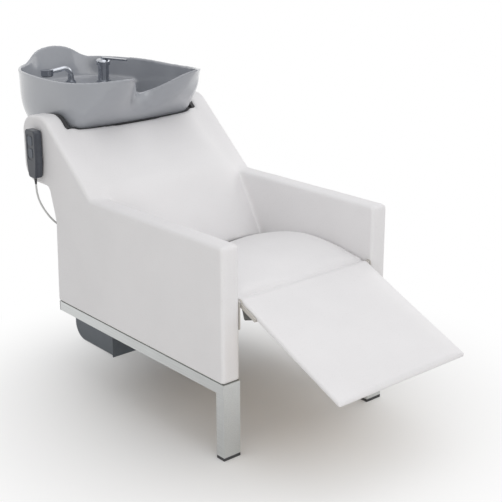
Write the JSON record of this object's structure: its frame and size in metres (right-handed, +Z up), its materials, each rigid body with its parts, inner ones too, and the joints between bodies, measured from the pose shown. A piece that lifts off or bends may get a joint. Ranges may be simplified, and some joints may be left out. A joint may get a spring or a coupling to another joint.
{
  "type": "hair washing bed",
  "caption": "Salon wash bed: upholstered seat between two side panels, powered leg rest, tilting wash bowl with mixer and hand shower, handset, service column.",
  "frame": {"origin": "centre of the service column's base plate, on the floor, in the plane of symmetry", "axes": "+Z up, -Y towards the sitter's feet, +Y towards the bowl, +X to the sitter's left-hand side as they lie"},
  "size_m": [0.6724, 1.754, 0.988],
  "materials": {
    "frame_aluminium": "brushed",
    "black_rubber": "matt",
    "black_plastic": "matt",
    "plywood": "raw",
    "panel_leather": "matt grain",
    "cushion_leather": "matt grain",
    "black_steel": "satin",
    "bright_steel": "bright",
    "column_grey": "satin",
    "motor_grey": "satin",
    "bowl_grey": "gloss",
    "chrome": "polished",
    "dark_plastic": "satin",
    "handset_grey": "satin",
    "button_grey": "satin",
    "cable_grey": "matt",
    "pale_steel": "satin",
    "grey_rubber": "matt"
  },
  "bodies": {
    "frame": {"side_frame_left": "frame_aluminium", "side_frame_right": "frame_aluminium", "foot_pads": "black_rubber", "rail_end_caps": "black_plastic", "seam_strips": "grey_rubber", "side_panel_board_left": "plywood", "side_panel_board_right": "plywood", "side_panel_cover_left": "panel_leather", "side_panel_cover_right": "panel_leather", "mid_cross_rail": "black_steel", "rear_cross_rail": "black_steel", "base_plate": "black_steel", "rear_posts": "black_steel", "bowl_brackets": "black_steel", "tilt_pins": "bright_steel", "column_cover": "column_grey", "column_front_plate": "column_grey", "cover_screws": "bright_steel", "back_sheet": "black_steel", "cable_gland": "black_plastic", "seat_board": "plywood", "seat_cushion": "cushion_leather", "board_brackets": "black_steel", "backrest_board": "plywood", "backrest_cushion": "cushion_leather", "hinge_brackets": "pale_steel", "hinge_pins": "bright_steel", "actuator_motor": "motor_grey", "actuator_tube": "black_plastic", "actuator_brackets": "black_steel", "control_box": "black_plastic", "bowl_seal": "black_rubber", "stop_valves": "chrome", "waste_socket": "black_plastic", "handset_holder": "black_plastic", "handset_cable": "cable_grey"},
    "leg_rest": {"leg_rest_board": "plywood", "leg_rest_cushion": "cushion_leather", "lifting_plate": "black_steel", "hinge_leaves": "pale_steel"},
    "actuator_rod": {"actuator_rod": "bright_steel", "cam_roller": "bright_steel"},
    "bowl": {"bowl_shell": "bowl_grey", "bowl_carrier": "black_steel", "drain_flange": "chrome", "bottle_trap": "black_plastic", "mixer_body": "chrome", "shower_socket": "chrome"},
    "mixer_dome": {"mixer_dome": "chrome"},
    "mixer_lever": {"mixer_lever": "chrome"},
    "hand_shower": {"shower_handle": "chrome", "shower_face": "dark_plastic"},
    "strainer": {"drain_strainer": "chrome"},
    "handset": {"handset_back": "handset_grey", "handset_front": "handset_grey", "handset_strain_relief": "black_rubber"},
    "button_up": {"button_up": "button_grey"},
    "button_down": {"button_down": "button_grey"},
    "lock_lever": {"tilt_lock_lever": "dark_plastic"}
  },
  "joints": [
    {"name": "leg_rest_hinge", "type": "hinge", "parent": "frame", "child": "leg_rest", "pos_m": [0, -0.8895, 0.4664], "axis": [-1, 0, 0], "range_deg": [-62, 23.3]},
    {"name": "rod_slide", "type": "slide", "parent": "frame", "child": "actuator_rod", "axis": [0, -0.9511, 0.309], "range_m": [-0.0435, 0.0165]},
    {"name": "bowl_tilt", "type": "hinge", "parent": "frame", "child": "bowl", "pos_m": [0, 0.052, 0.7], "axis": [-1, 0, 0], "range_deg": [0, 12]},
    {"name": "mixer_turn", "type": "hinge", "parent": "bowl", "child": "mixer_dome", "pos_m": [0.108, 0.295, 0.94], "axis": [0, 0, 1], "range_deg": [-45, 45]},
    {"name": "mixer_lift", "type": "hinge", "parent": "mixer_dome", "child": "mixer_lever", "pos_m": [0.108, 0.295, 0.9423], "axis": [-0.9397, -0.342, 0], "range_deg": [0, 25]},
    {"name": "shower_lift", "type": "slide", "parent": "bowl", "child": "hand_shower", "axis": [0, 0, 1], "range_m": [0, 0.095]},
    {"name": "strainer_lift", "type": "slide", "parent": "bowl", "child": "strainer", "axis": [0, 0, 1], "range_m": [0, 0.03]},
    {"name": "handset_lift", "type": "slide", "parent": "frame", "child": "handset", "axis": [0, 0, 1], "range_m": [0, 0.03]},
    {"name": "button_up_press", "type": "slide", "parent": "handset", "child": "button_up", "axis": [1, 0, 0], "range_m": [0, 0.0012], "stiffness_N_per_m": 800},
    {"name": "button_down_press", "type": "slide", "parent": "handset", "child": "button_down", "axis": [1, 0, 0], "range_m": [0, 0.0012], "stiffness_N_per_m": 800},
    {"name": "lock_turn", "type": "hinge", "parent": "frame", "child": "lock_lever", "pos_m": [0.16, 0.052, 0.7], "axis": [1, 0, 0], "range_deg": [0, 60]}
  ],
  "couplings": [
    {"joint": "rod_slide", "follows": "leg_rest_hinge", "m_per_rad": 0.04}
  ]
}
